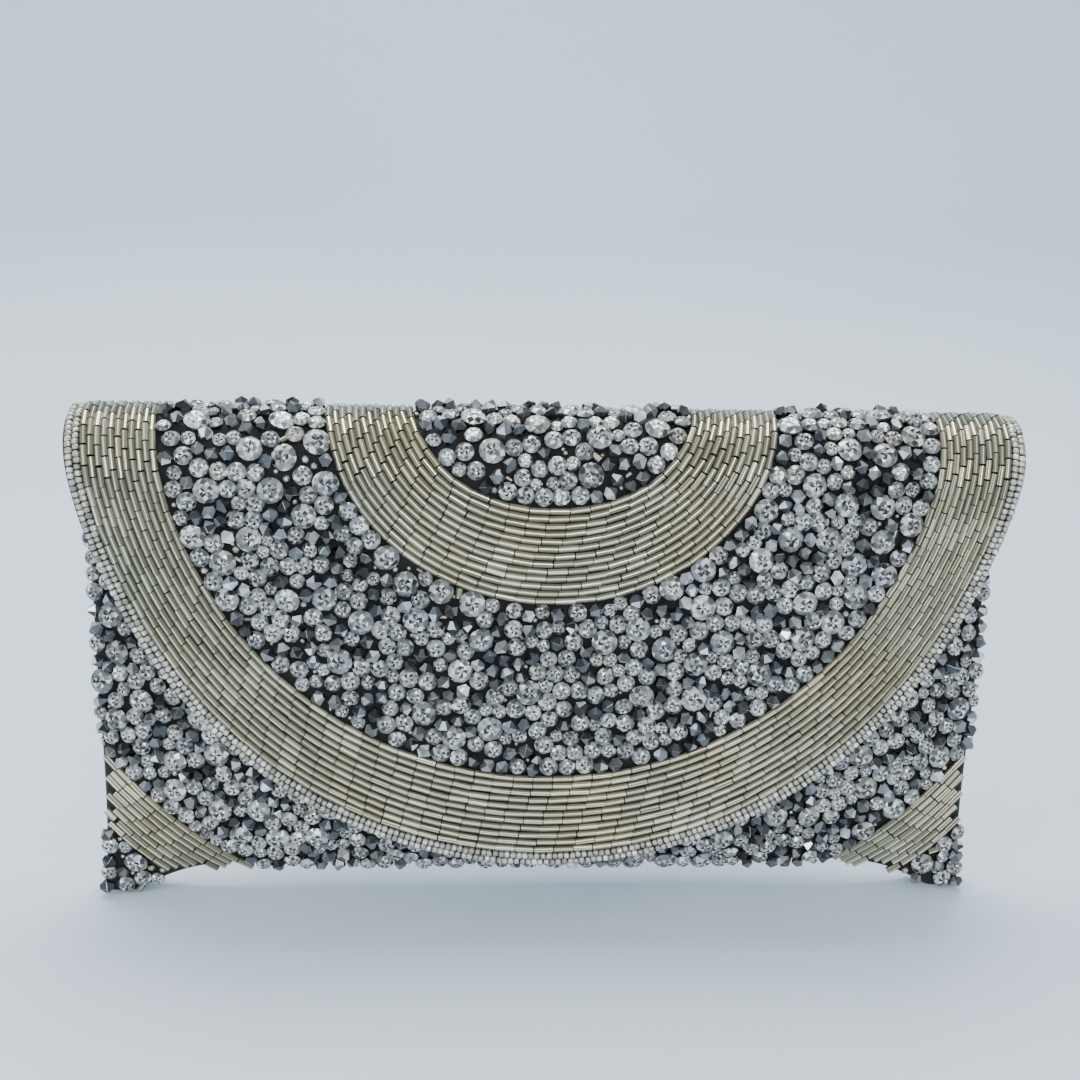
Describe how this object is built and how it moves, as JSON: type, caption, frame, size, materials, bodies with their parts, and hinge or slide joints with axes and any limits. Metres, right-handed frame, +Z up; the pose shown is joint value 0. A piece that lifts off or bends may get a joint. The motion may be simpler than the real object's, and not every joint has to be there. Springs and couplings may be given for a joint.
{
  "type": "clutch purse",
  "caption": "Stuffed envelope clutch with a half-round beaded flap over a soft fold, satin back, magnetic snap and a slip pocket inside.",
  "frame": {"origin": "on the surface the purse stands on, under the middle of its outline", "axes": "+X along the purse to the right, +Y from the flap side to the back, +Z up"},
  "size_m": [0.25, 0.0454, 0.1389],
  "materials": {
    "crystal": "faceted clear crystals and grey bicones, sewn close together",
    "bugle_bead": "silver-lined champagne bugle beads in rows",
    "seed_bead": "silver-lined seed beads",
    "black_cloth": "matte black base cloth",
    "back_satin": "charcoal satin",
    "board": "buckram board",
    "lining_satin": "silver-grey satin",
    "snap_metal": "nickel-plated steel"
  },
  "bodies": {
    "pouch": {"front_cloth": "black_cloth", "front_board": "board", "front_lining": "lining_satin", "back_cloth": "back_satin", "back_board": "board", "back_lining": "lining_satin", "slip_pocket": "lining_satin", "seam_tape": "black_cloth", "mouth_binding": "black_cloth", "front_crystals": "crystal", "corner_bugles_left": "bugle_bead", "corner_bugles_right": "bugle_bead", "corner_crystals_left": "crystal", "corner_crystals_right": "crystal", "snap_socket": "snap_metal", "snap_socket_washer": "snap_metal"},
    "fold": {"fold_cloth": "black_cloth", "fold_board": "board", "fold_lining": "lining_satin", "fold_centre_crystals": "crystal", "fold_inner_bugles_left": "bugle_bead", "fold_inner_bugles_right": "bugle_bead", "fold_crystals_left": "crystal", "fold_crystals_right": "crystal", "fold_outer_bugles_left": "bugle_bead", "fold_outer_bugles_right": "bugle_bead", "fold_seed_edge_left": "seed_bead", "fold_seed_edge_right": "seed_bead"},
    "flap": {"flap_cloth": "black_cloth", "flap_board": "board", "flap_lining": "lining_satin", "flap_centre_crystals": "crystal", "flap_inner_bugles": "bugle_bead", "flap_crystals": "crystal", "flap_outer_bugles": "bugle_bead", "flap_seed_edge": "seed_bead", "snap_stud": "snap_metal", "snap_stud_washer": "snap_metal"}
  },
  "joints": [
    {"name": "fold_back_hinge", "type": "hinge", "parent": "pouch", "child": "fold", "pos_m": [0, 0.02268, 0.13424], "axis": [-1, 0, 0], "range_deg": [0, 90]},
    {"name": "fold_front_hinge", "type": "hinge", "parent": "fold", "child": "flap", "pos_m": [0, -0.0008, 0.13424], "axis": [-1, 0, 0], "range_deg": [0, 90]}
  ],
  "couplings": [
    {"joint": "fold_front_hinge", "follows": "fold_back_hinge", "ratio": 1}
  ]
}
